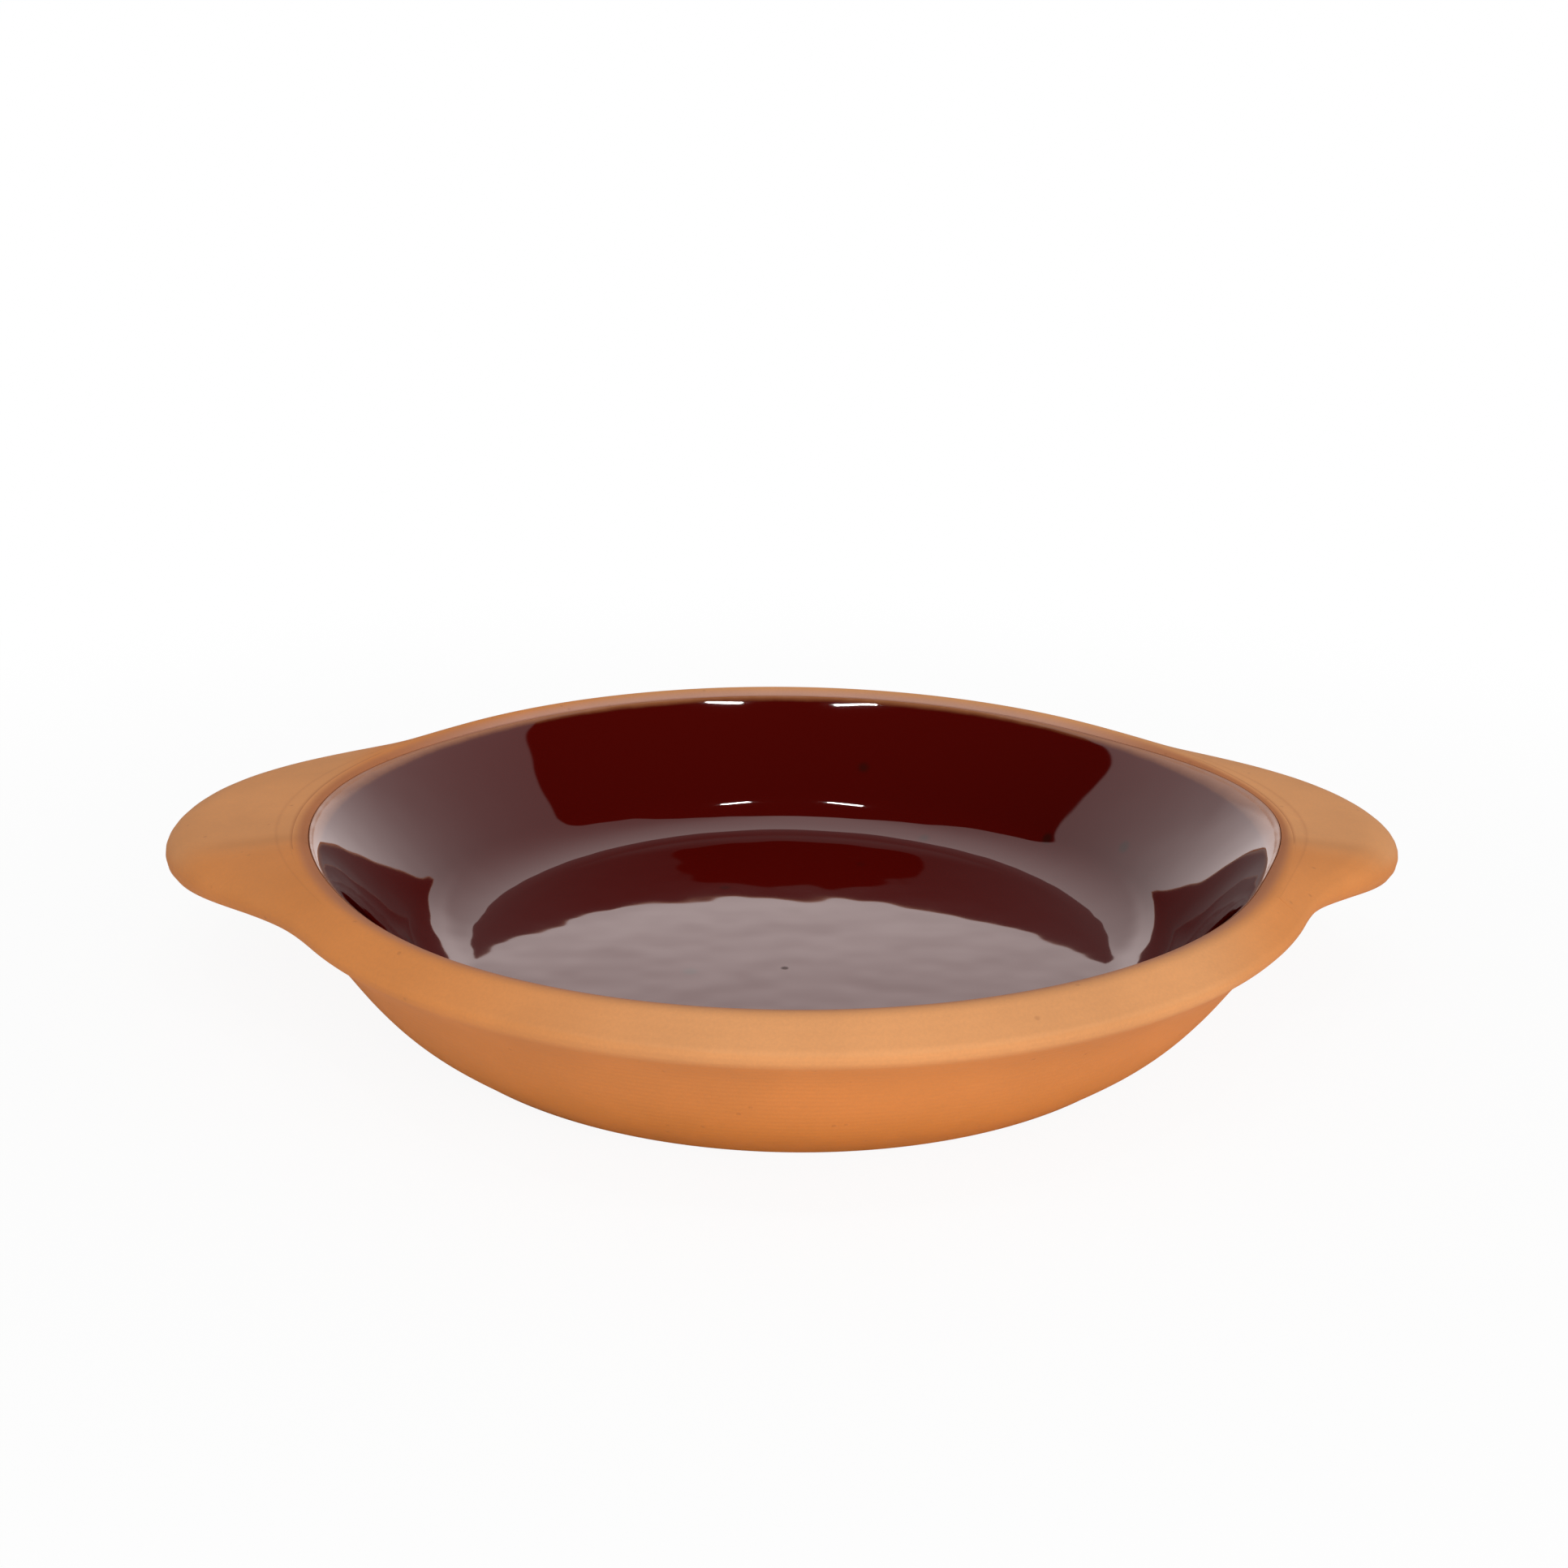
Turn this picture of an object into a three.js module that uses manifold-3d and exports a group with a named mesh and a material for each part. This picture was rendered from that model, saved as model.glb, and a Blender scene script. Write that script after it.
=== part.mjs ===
import * as THREE from 'three';
import { mergeVertices } from 'three/addons/utils/BufferGeometryUtils.js';
import Module from 'manifold-3d';

// Terracotta baking dish: a thrown bowl with a drooping collar under its lip, two lug handles
// luted to the collar with slip, and a glaze over the inside. Millimetres, +Z up.
// The base rests on Z = 0, the bowl turns about the Z axis, and the lugs lie along X.

const wasm = await Module();
wasm.setup();

// Outside of the bowl: its height, the collar, the lip behind it and the base
const HEIGHT = 42.9;
const COLLAR_R = 127.9;
const COLLAR_DROP = 5.7;
const COLLAR_NOSE_R = 2.2;
const COLLAR_UNDERCUT_DEG = 47;
const LIP_SETBACK = 7.9;
const LIP_R = COLLAR_R - LIP_SETBACK;
const LIP_ROUND_R = 3;
const BASE_R = 97;
const BASE_EDGE_R = 1.6;
const BASE_FLARE_DEG = 35;

// Curve of the outer wall: how far up each point lies, and how far it swells past a straight wall
const HAUNCH_UP = 0.22;
const HAUNCH_SWELL = 1.5;
const BELLY_UP = 0.43;
const BELLY_SWELL = 1.2;
const NECK_UP = 0.76;
const NECK_SWELL = -0.8;

// Inside of the bowl, measured on the surface of the glaze
const LIP_LAND = 1;
const LIP_INNER_DEG = 148;
const FLOOR_Z = 7;
const FLOOR_SETBACK = 16;
const COVE_R = 20;
const COVE_DEG = 55;
const BASIN_DOWN = 0.5;
const BASIN_BULGE = 0.6;

// Clearance between pieces that touch, the glaze, and the slip that lutes a lug
const JOINT_GAP = 0.3;
const GLAZE_T = 0.7;
const GLAZE_SEAT = GLAZE_T + JOINT_GAP;
const SLIP_T = 0.6;
const SLIP_SETBACK = 1;
const LUG_SEAT = SLIP_T + 2 * JOINT_GAP;

// Lug handles: drawn out of the collar to a tip and fading back into it, with a flat top, a rounded
// fall to the edge, a blunt underside and a fillet down to a foot on the wall
const LUG_TOP_DROP = 0.35;
const LUG_TOP_START = 4;
const LUG_SAG = 1.6;
const LUG_FALL_W = 12.7;
const LUG_FALL_T = 8.2;
const LUG_UNDER_W = 2.6;
const LUG_UNDER_T = 4.3;
const LUG_FILLET = 8;
const LUG_FOOT_DROP = 25;
const LUG_ROOT_IN = 16;
const LUG_ROOT_R = LIP_R - LUG_ROOT_IN;
const LUG_TUCK = 0.5;
const LUG_SHOULDER = 2.1;
const LUG_FADE_POWER = 3;
const LEFT_OVERHANG = 30.2;
const RIGHT_OVERHANG = 27.8;

// Each lug as it was pressed on by hand: where it points, how far it stands out past the collar,
// and how far it sweeps clockwise and counter-clockwise, seen from above
const LUGS = [
  { side: 'left', turnDeg: 174.5, overhang: LEFT_OVERHANG, sweepDeg: [38.7, 40.7] },
  { side: 'right', turnDeg: 3.3, overhang: RIGHT_OVERHANG, sweepDeg: [31.9, 41.4] },
];

// Facets round the dish, along a lug, and along the lines of their sections
const TURN_STEPS = 84;
const LUG_STEPS = 28;
const WALL_STEPS = 12;
const BASIN_STEPS = 6;
const ROUND_STEPS = 4;
const CORNER_STEPS = 2;

// Fired red clay, the paler slip and the oxblood glaze
const terracotta = new THREE.MeshStandardMaterial({ color: 0xd68a52, roughness: 0.85, metalness: 0 });
const slipClay = new THREE.MeshStandardMaterial({ color: 0xc47a48, roughness: 0.9, metalness: 0 });
const glaze = new THREE.MeshStandardMaterial({ color: 0x4a0a08, roughness: 0.08, metalness: 0 });

// Points of an arc about (r, z), with angles in degrees from the outward direction
function arc(r, z, radius, from, to, steps) {
  return Array.from({ length: steps + 1 }, (_, i) => {
    const a = THREE.MathUtils.degToRad(from + (to - from) * i / steps);
    return new THREE.Vector2(r + radius * Math.cos(a), z + radius * Math.sin(a));
  });
}

// Points of a smooth line through the given points, without its two ends
function between(points, steps) {
  return new THREE.SplineCurve(points).getPoints(steps).slice(1, -1);
}

// A line of points moved sideways, to the right of the way it runs
function shifted(points, distance) {
  return points.map((point, i) => {
    const before = points[Math.max(i - 1, 0)];
    const after = points[Math.min(i + 1, points.length - 1)];
    const along = after.clone().sub(before).normalize();
    return new THREE.Vector2(point.x + along.y * distance, point.y - along.x * distance);
  });
}

// A point part of the way along a straight line, moved to the right of the way it runs
function offLine(from, to, share, aside) {
  const line = to.clone().sub(from);
  return from.clone().lerp(to, share).add(new THREE.Vector2(line.y, -line.x).setLength(aside));
}

// Outside of the bowl, from the edge of the base up to the crest of the lip
function outerProfile() {
  const base = arc(BASE_R - BASE_EDGE_R, BASE_EDGE_R, BASE_EDGE_R, -90, -BASE_FLARE_DEG, CORNER_STEPS);
  const nose = new THREE.Vector2(COLLAR_R - COLLAR_NOSE_R, HEIGHT - COLLAR_DROP);
  const lip = new THREE.Vector2(LIP_R, HEIGHT - LIP_ROUND_R);
  const shoulder = nose.clone().sub(lip);
  const tilt = shoulder.angle() + Math.acos((LIP_ROUND_R - COLLAR_NOSE_R) / shoulder.length());
  const bevel = THREE.MathUtils.radToDeg(tilt) - 360;
  const collar = arc(nose.x, nose.y, COLLAR_NOSE_R, -COLLAR_UNDERCUT_DEG, bevel, ROUND_STEPS);
  const heel = base[base.length - 1];
  const wall = between([
    heel,
    offLine(heel, collar[0], HAUNCH_UP, HAUNCH_SWELL),
    offLine(heel, collar[0], BELLY_UP, BELLY_SWELL),
    offLine(heel, collar[0], NECK_UP, NECK_SWELL),
    collar[0],
  ], WALL_STEPS);
  return [...base, ...wall, ...collar, ...arc(lip.x, lip.y, LIP_ROUND_R, bevel, 90, CORNER_STEPS).slice(1)];
}

// Clay of the lip from the crest inwards, down to the edge of the glaze
function lipProfile() {
  return arc(LIP_R - LIP_LAND, HEIGHT - LIP_ROUND_R, LIP_ROUND_R, 90, LIP_INNER_DEG, ROUND_STEPS);
}

// Surface of the glaze, from its edge on the lip down to the middle of the floor
function basinProfile() {
  const edge = lipProfile().pop();
  const cove = arc(BASE_R - FLOOR_SETBACK, FLOOR_Z + COVE_R, COVE_R, COVE_DEG - 90, -90, ROUND_STEPS);
  const wall = between([edge, offLine(edge, cove[0], BASIN_DOWN, BASIN_BULGE), cove[0]], BASIN_STEPS);
  return [edge, ...wall, ...cove, new THREE.Vector2(0, FLOOR_Z)];
}

// A solid turned about the Z axis from (r, z) points
function turned(profile) {
  return new THREE.LatheGeometry(profile, TURN_STEPS).rotateX(Math.PI / 2);
}

// A closed ring that follows the outside of the bowl between two clearances
function collarRing(inner, outer) {
  const near = shifted(outerProfile(), inner).reverse();
  const far = shifted(outerProfile(), outer);
  return turned([...far, ...near, far[0]]);
}

// A block that fills the bowl and the space above it, out to a clearance round its outside
function bowlBlock(clearance) {
  const outside = shifted(outerProfile(), clearance);
  const crest = outside[outside.length - 1];
  const core = LUG_ROOT_R / 2;
  return turned([
    new THREE.Vector2(core, outside[0].y),
    ...outside,
    new THREE.Vector2(crest.x, HEIGHT * 2),
    new THREE.Vector2(core, HEIGHT * 2),
    new THREE.Vector2(core, outside[0].y),
  ]);
}

// Quarter of an oval, from one angle in degrees to the next
function quarter(r, z, width, height, from, to) {
  return arc(0, 0, 1, from, to, ROUND_STEPS)
    .map((point) => new THREE.Vector2(r + width * point.x, z + height * point.y));
}

// Outside of the bowl behind a lug: from the foot up to the collar's edge, and on to the crest,
// with the straight line that the wall follows at the foot
function collarRuns() {
  const outside = outerProfile();
  const footZ = HEIGHT - LUG_FOOT_DROP;
  const next = outside.findIndex((point) => point.y > footZ);
  const [below, above] = outside.slice(next - 1, next + 1);
  const wallAt = (z) => below.clone().lerp(above, (z - below.y) / (above.y - below.y));
  const edge = outside.findIndex((point) => point.x === Math.max(...outside.map(({ x }) => x)));
  return { wallAt, under: [wallAt(footZ), ...outside.slice(next, edge + 1)], over: outside.slice(edge) };
}

// Outside of a lug in full, in runs that match those of the collar
function lugRuns(overhang, collar) {
  const tip = COLLAR_R + overhang;
  const top = HEIGHT - LUG_TOP_DROP;
  const edge = top - LUG_SAG - LUG_FALL_T;
  const corner = collar.wallAt(edge - LUG_UNDER_T);
  const fillet = new THREE.QuadraticBezierCurve(
    collar.under[0], corner, new THREE.Vector2(corner.x + LUG_FILLET, corner.y));
  return {
    under: [
      ...fillet.getPoints(ROUND_STEPS),
      ...quarter(tip - LUG_UNDER_W, edge, LUG_UNDER_W, LUG_UNDER_T, -90, 0),
    ],
    over: [
      ...quarter(tip - LUG_FALL_W, edge, LUG_FALL_W, LUG_FALL_T, 0, 90),
      new THREE.Vector2(LIP_R + LUG_TOP_START, top),
      new THREE.Vector2(LIP_R, HEIGHT),
    ],
  };
}

// Points of a line at the same shares of its length as the points of another line
function pacedLike(line, other) {
  const path = new THREE.Path(line);
  const lengths = new THREE.Path(other).getCurveLengths();
  return [0, ...lengths].map((length) => path.getPoint(length / lengths[lengths.length - 1]));
}

// How far a lug has swollen, from 0 where it fades out to 1 at the tip
function swell(share) {
  return (1 - Math.abs(share) ** LUG_SHOULDER) ** LUG_FADE_POWER;
}

// A lug before its seat is cut: sections swept round the dish, closed at both ends
function lugBlank({ overhang, sweepDeg }, inset = 0) {
  const collar = collarRuns();
  const { under, over } = lugRuns(overhang, collar);
  const full = shifted([...under, ...over.slice(1)], -inset);
  const behind = [...pacedLike(collar.under, under), ...pacedLike(collar.over, over).slice(1)];
  const faded = shifted(behind, -LUG_TUCK - inset);
  const positions = [];
  for (let i = 0; i <= LUG_STEPS; i++) {
    const share = 2 * i / LUG_STEPS - 1;
    const turn = THREE.MathUtils.degToRad(share * sweepDeg[share < 0 ? 0 : 1]);
    const outside = faded.map((point, j) => point.clone().lerp(full[j], swell(share)));
    const foot = new THREE.Vector2(LUG_ROOT_R, outside[0].y);
    const crest = new THREE.Vector2(LUG_ROOT_R, outside[outside.length - 1].y);
    for (const { x, y } of [foot, ...outside, crest]) {
      positions.push(x * Math.cos(turn), x * Math.sin(turn), y);
    }
  }
  const triangles = [];
  const size = full.length + 2;
  for (let i = 0; i < LUG_STEPS; i++) {
    for (let j = 0; j < size; j++) {
      const a = i * size + j;
      const b = i * size + (j + 1) % size;
      triangles.push(a, a + size, b, b, a + size, b + size);
    }
  }
  const last = LUG_STEPS * size;
  for (let j = 1; j < size - 1; j++) {
    triangles.push(0, j, j + 1, last, last + j + 1, last + j);
  }
  const geometry = new THREE.BufferGeometry();
  geometry.setAttribute('position', new THREE.Float32BufferAttribute(positions, 3));
  geometry.setIndex(triangles);
  return geometry;
}

// A closed geometry as a solid that can be cut
function solidOf(geometry) {
  const bare = geometry.clone();
  bare.deleteAttribute('normal');
  bare.deleteAttribute('uv');
  const merged = mergeVertices(bare, 1e-4);
  return new wasm.Manifold(new wasm.Mesh({
    numProp: 3,
    vertProperties: Float32Array.from(merged.attributes.position.array),
    triVerts: Uint32Array.from(merged.index.array),
  }));
}

// A cut solid back as a geometry
function geometryOf(solid) {
  const mesh = solid.getMesh();
  const geometry = new THREE.BufferGeometry();
  geometry.setAttribute('position', new THREE.BufferAttribute(mesh.vertProperties, 3));
  geometry.setIndex(new THREE.BufferAttribute(mesh.triVerts, 1));
  geometry.computeVertexNormals();
  return geometry;
}

// The thrown bowl, with its inside sunk by the seat of the glaze
function bowlGeometry() {
  const basin = shifted(basinProfile(), -GLAZE_SEAT);
  return turned([new THREE.Vector2(0, 0), ...outerProfile(), ...lipProfile().slice(1), ...basin]);
}

// The skin of glaze, from the axis out along its back and home along its surface
function glazeGeometry() {
  const surface = basinProfile();
  const [edge, next] = surface;
  edge.lerp(next, JOINT_GAP / edge.distanceTo(next));
  return turned([...shifted(surface, -GLAZE_T).reverse(), ...surface]);
}

// A lug cut to the outside of the bowl, clear of the slip behind it
function lugGeometry(lug) {
  return geometryOf(solidOf(lugBlank(lug)).subtract(solidOf(bowlBlock(LUG_SEAT))));
}

// The slip squeezed between a lug and the collar, a little short of the lug's edges
function slipGeometry(lug) {
  const ring = solidOf(collarRing(JOINT_GAP, JOINT_GAP + SLIP_T));
  return geometryOf(solidOf(lugBlank(lug, SLIP_SETBACK)).intersect(ring));
}

const dish = new THREE.Group();

function place(name, geometry, material, turnDeg = 0) {
  const mesh = new THREE.Mesh(geometry, material);
  mesh.name = name;
  mesh.rotation.z = THREE.MathUtils.degToRad(turnDeg);
  dish.add(mesh);
}

place('dish_body', bowlGeometry(), terracotta);
place('glaze_lining', glazeGeometry(), glaze);
for (const lug of LUGS) {
  place(`ear_${lug.side}`, lugGeometry(lug), terracotta, lug.turnDeg);
  place(`slip_seam_${lug.side}`, slipGeometry(lug), slipClay, lug.turnDeg);
}

export default dish;
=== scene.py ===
"""Terracotta baking dish: a thrown bowl with a collar, two lug handles and a dark red glaze inside."""

import math

import bpy
from mathutils import Matrix, Vector


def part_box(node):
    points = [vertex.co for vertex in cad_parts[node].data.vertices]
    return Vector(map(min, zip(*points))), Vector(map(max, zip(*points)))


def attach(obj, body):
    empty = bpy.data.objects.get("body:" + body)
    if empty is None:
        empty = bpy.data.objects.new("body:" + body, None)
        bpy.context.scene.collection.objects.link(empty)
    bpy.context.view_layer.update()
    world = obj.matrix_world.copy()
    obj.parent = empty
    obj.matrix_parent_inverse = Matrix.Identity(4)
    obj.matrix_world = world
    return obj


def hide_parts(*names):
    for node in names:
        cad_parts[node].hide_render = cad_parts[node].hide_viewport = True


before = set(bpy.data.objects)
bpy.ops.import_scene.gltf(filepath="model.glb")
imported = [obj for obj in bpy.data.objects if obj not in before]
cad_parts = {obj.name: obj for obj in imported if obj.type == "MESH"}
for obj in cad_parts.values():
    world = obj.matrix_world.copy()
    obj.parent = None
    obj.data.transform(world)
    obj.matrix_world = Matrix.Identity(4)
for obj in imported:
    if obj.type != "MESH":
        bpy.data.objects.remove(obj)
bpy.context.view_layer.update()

bl_info = {
    "name": "Terracotta baking dish",
    "version": (1, 0, 0),
    "blender": (4, 5, 0),
    "location": "View3D > Sidebar > Baking dish",
    "description": "Builds a thrown terracotta baking dish with two lug handles",
    "category": "Object",
}

MM = 0.001
BODY_LOW, BODY_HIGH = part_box("dish_body")

# The collar, the lip and the base, from the outside
LIP_RADIUS, NOSE_RADIUS = 3 * MM, 2.2 * MM
NOSE_DROP, UNDERCUT = 5.7 * MM, -47
BASE_ROUND, BASE_FLARE = 1.6 * MM, -35

# The lip, the wall and the cove, from the inside, with slopes and turns in degrees
PULL_DROP = 0.07
LIP_ROLL, GLAZE_EDGE, ROLL_END = 8 * MM, 127, 137
WALL_TOP_SLOPE, WALL_FOOT_SLOPE = 47, 56
COVE_SETBACK, COVE_RADIUS, COVE_TURN = 16.8 * MM, 20.3 * MM, -34
BED_DEPTH, SKIN_DEPTH = 0.5 * MM, 0.6 * MM

# The section of a lug in full
LUG_TOP_DROP, LUG_SAG, LUG_FILLET = 0.36 * MM, 1.63 * MM, 7.9 * MM
LUG_FALL_W, LUG_FALL_T = 12.7 * MM, 8.2 * MM
LUG_UNDER_W, LUG_UNDER_T = 2.6 * MM, 4.3 * MM

# How far one piece stands proud of the next, so that only one of them shows
HAIR = 0.02 * MM

# Width over which the clay and the glaze change beside the edge of the glaze
EDGE_WIDTH = 6 * MM

# Single marks of the kiln: a pale pit outside and a dark speck on the floor
PALE_PIT = (-26.2 * MM, -102.7 * MM, 11.8 * MM)
DARK_SPECK = (-2.2 * MM, -16.8 * MM, 7 * MM)

# The camera's image: its width and how far its middle is shifted, in pixels
IMAGE, SHIFT_X, SHIFT_Y = 1932, -11.41, 32.47


# ---------------------------------------------------------------- sizes and colours

class BowlSizes(bpy.types.PropertyGroup):
    """Sizes of the thrown bowl"""

    height: bpy.props.FloatProperty(
        name="Height", description="From the base to the crest of the lip",
        default=BODY_HIGH.z - BODY_LOW.z, unit="LENGTH")
    collar_radius: bpy.props.FloatProperty(
        name="Collar radius", description="Out to the nose of the collar",
        default=(BODY_HIGH.x - BODY_LOW.x) / 2, unit="LENGTH")
    lip_setback: bpy.props.FloatProperty(
        name="Lip setback", description="From the nose of the collar in to the crest of the lip",
        default=7.9 * MM, unit="LENGTH")
    base_radius: bpy.props.FloatProperty(
        name="Base radius", description="Out to the edge of the base",
        default=97 * MM, unit="LENGTH")
    floor_height: bpy.props.FloatProperty(
        name="Floor height", description="Surface of the glaze on the floor",
        default=7 * MM, unit="LENGTH")
    rim_spread: bpy.props.FloatProperty(
        name="Crest shift", description="How far out the crest stands from the middle of the lip",
        default=0.6 * MM, unit="LENGTH")
    front_turn: bpy.props.FloatProperty(
        name="Broad lip turn", description="Where the lip is broadest",
        default=math.radians(293), subtype="ANGLE")
    front_spread: bpy.props.FloatProperty(
        name="Broad lip", description="How far in the crest stands where the lip is broadest",
        default=-1.4 * MM, unit="LENGTH")
    facets: bpy.props.IntProperty(
        name="Facets", description="Steps round the bowl", default=360)


class LugSizes(bpy.types.PropertyGroup):
    """Sizes of the two lug handles"""

    left_turn: bpy.props.FloatProperty(
        name="Left turn", description="Where the left lug points",
        default=math.radians(174.5), subtype="ANGLE")
    left_overhang: bpy.props.FloatProperty(
        name="Left overhang", description="How far the left lug stands out past the collar",
        default=30.2 * MM, unit="LENGTH")
    left_back: bpy.props.FloatProperty(
        name="Left sweep, back", description="Turn over which the left lug fades out at the back",
        default=math.radians(38.7), subtype="ANGLE")
    left_front: bpy.props.FloatProperty(
        name="Left sweep, front", description="Turn over which the left lug fades out at the front",
        default=math.radians(40.7), subtype="ANGLE")
    right_turn: bpy.props.FloatProperty(
        name="Right turn", description="Where the right lug points",
        default=math.radians(3.3), subtype="ANGLE")
    right_overhang: bpy.props.FloatProperty(
        name="Right overhang", description="How far the right lug stands out past the collar",
        default=27.8 * MM, unit="LENGTH")
    right_front: bpy.props.FloatProperty(
        name="Right sweep, front", description="Turn over which the right lug fades out at the front",
        default=math.radians(31.9), subtype="ANGLE")
    right_back: bpy.props.FloatProperty(
        name="Right sweep, back", description="Turn over which the right lug fades out at the back",
        default=math.radians(41.4), subtype="ANGLE")
    left_spread: bpy.props.FloatProperty(
        name="Left spread", description="How far the left lug pulled the rim outwards",
        default=2.9 * MM, unit="LENGTH")
    right_spread: bpy.props.FloatProperty(
        name="Right spread", description="How far the right lug pulled the rim outwards",
        default=4.6 * MM, unit="LENGTH")
    foot_drop: bpy.props.FloatProperty(
        name="Foot drop", description="From the crest of the lip down to the foot of a lug on the wall",
        default=25 * MM, unit="LENGTH")


class Finish(bpy.types.PropertyGroup):
    """Colours of the clay and the glaze"""

    clay: bpy.props.FloatVectorProperty(
        name="Clay", description="Fired clay of the wall",
        default=(0.72, 0.252, 0.060), size=3, subtype="COLOR", min=0, max=1)
    # Painted sheen and painted light where the clay faces up and on the collar, partly a pale dusty film of
    # the clay
    dust_and_sheen: bpy.props.FloatVectorProperty(
        name="Bloom", description="Paler clay where it faces up",
        default=(0.74, 0.33, 0.125), size=3, subtype="COLOR", min=0, max=1)
    foot: bpy.props.FloatVectorProperty(
        name="Foot", description="Darker clay near the base",
        default=(0.62, 0.215, 0.024), size=3, subtype="COLOR", min=0, max=1)
    # Painted sheen: the grey stands for the pale backdrop caught at a grazing view on the inner side of the
    # lip
    lip: bpy.props.FloatVectorProperty(
        name="Lip", description="Greyer clay on the inner side of the lip",
        default=(0.53, 0.32, 0.28), size=3, subtype="COLOR", min=0, max=1)
    stain: bpy.props.FloatVectorProperty(
        name="Edge stain", description="Browner clay beside the edge of the glaze",
        default=(0.47, 0.155, 0.05), size=3, subtype="COLOR", min=0, max=1)
    glaze: bpy.props.FloatVectorProperty(
        name="Glaze", description="Glaze over the inside",
        default=(0.088, 0.0020, 0.0008), size=3, subtype="COLOR", min=0, max=1)
    thin_glaze: bpy.props.FloatVectorProperty(
        name="Thin glaze", description="Glaze where it thins at the lip",
        default=(0.38, 0.14, 0.055), size=3, subtype="COLOR", min=0, max=1)


class Studio(bpy.types.PropertyGroup):
    """Camera and light"""

    lens: bpy.props.FloatProperty(
        name="Lens", description="Focal length in millimetres on a 36 mm sensor", default=40.98)
    distance: bpy.props.FloatProperty(
        name="Distance", description="From the camera to the middle of the rim",
        default=450 * MM, unit="LENGTH")
    pitch: bpy.props.FloatProperty(
        name="Pitch", description="How far the camera looks down",
        default=math.radians(18.836), subtype="ANGLE")
    yaw: bpy.props.FloatProperty(
        name="Yaw", description="How far the camera stands to the left of the dish's front",
        default=math.radians(2.328), subtype="ANGLE")
    roll: bpy.props.FloatProperty(
        name="Roll", description="Tilt of the camera", default=math.radians(0.885), subtype="ANGLE")
    ambient: bpy.props.FloatProperty(
        name="Ambient", description="Strength of the even light", default=0.5)
    key: bpy.props.FloatProperty(
        name="Key", description="Power of the large soft lamp at the front", default=7.0, unit="POWER")
    top: bpy.props.FloatProperty(
        name="Top lamps", description="Power of each small lamp above the front", default=1.2, unit="POWER")


# ---------------------------------------------------------------- sections of the dish

def settings():
    """The four groups of settings on the scene."""
    scene = bpy.context.scene
    return scene.dish_bowl, scene.dish_lugs, scene.dish_finish, scene.dish_studio


def arc(r, z, radius, start, end, steps):
    """Points of an arc about (r, z), with angles in degrees from the outward direction."""
    turns = [math.radians(start + (end - start) * i / steps) for i in range(steps + 1)]
    return [(r + radius * math.cos(a), z + radius * math.sin(a)) for a in turns]


def oval(r, z, width, height, start, end, steps):
    """Points of a part of an oval about (r, z)."""
    return [(r + width * x, z + height * y) for x, y in arc(0, 0, 1, start, end, steps)]


def smooth_line(points, steps):
    """Points of a smooth curve through the given points, both ends included."""
    line = []
    spans = len(points) - 1
    for i in range(steps + 1):
        t = i / steps * spans
        k = min(int(t), spans - 1)
        t -= k
        before, here = points[max(k - 1, 0)], points[k]
        there, after = points[k + 1], points[min(k + 2, spans)]
        line.append(tuple(
            0.5 * (2 * b + (c - a) * t + (2 * a - 5 * b + 4 * c - d) * t * t
                   + (3 * b - a - 3 * c + d) * t ** 3)
            for a, b, c, d in zip(before, here, there, after)))
    return line


def off_line(start, end, share, aside):
    """A point part of the way along a straight line, moved to the right of the way it runs."""
    dr, dz = end[0] - start[0], end[1] - start[1]
    length = math.hypot(dr, dz)
    return (start[0] + dr * share + dz / length * aside, start[1] + dz * share - dr / length * aside)


def even(line, steps):
    """Points at even distances along a line."""
    lengths = [0.0]
    for a, b in zip(line, line[1:]):
        lengths.append(lengths[-1] + math.dist(a, b))
    points, k = [], 0
    for i in range(steps + 1):
        want = lengths[-1] * i / steps
        while k < len(line) - 2 and lengths[k + 1] < want:
            k += 1
        t = (want - lengths[k]) / (lengths[k + 1] - lengths[k])
        points.append(tuple(a + (b - a) * t for a, b in zip(line[k], line[k + 1])))
    return points


def moved(line, distance):
    """A line moved sideways, to the right of the way it runs."""
    points = []
    for i, point in enumerate(line):
        a, b = line[max(i - 1, 0)], line[min(i + 1, len(line) - 1)]
        length = math.dist(a, b)
        points.append((point[0] + (b[1] - a[1]) / length * distance,
                       point[1] - (b[0] - a[0]) / length * distance))
    return points


def collar_runs(bowl):
    """Outside of the bowl from the crest: the top run to the nose, and the run down to the base."""
    nose = (bowl.collar_radius - NOSE_RADIUS, bowl.height - NOSE_DROP)
    lip = (bowl.collar_radius - bowl.lip_setback, bowl.height - LIP_RADIUS)
    slope = math.atan2(nose[1] - lip[1], nose[0] - lip[0])
    bevel = math.degrees(slope + math.acos((LIP_RADIUS - NOSE_RADIUS) / math.dist(nose, lip)))
    top = arc(*lip, LIP_RADIUS, 90, bevel, 8) + arc(*nose, NOSE_RADIUS, bevel, 0, 8)
    under = arc(*nose, NOSE_RADIUS, 0, UNDERCUT, 6)
    base = arc(bowl.base_radius - BASE_ROUND, BASE_ROUND, BASE_ROUND, BASE_FLARE, -90, 5)
    heel, neck = base[0], under[-1]
    wall = smooth_line([
        neck,
        off_line(heel, neck, 0.76, -0.8 * MM),
        off_line(heel, neck, 0.43, 1.2 * MM),
        off_line(heel, neck, 0.22, 1.5 * MM),
        heel,
    ], 32)
    return top, under + wall[1:] + base[1:]


def crest_at(bowl, spread):
    """The crest of the lip, a little lower where a lug pulled it outwards."""
    return (bowl.collar_radius - bowl.lip_setback + spread,
            bowl.height - PULL_DROP * max(spread - bowl.rim_spread, 0))


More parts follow.
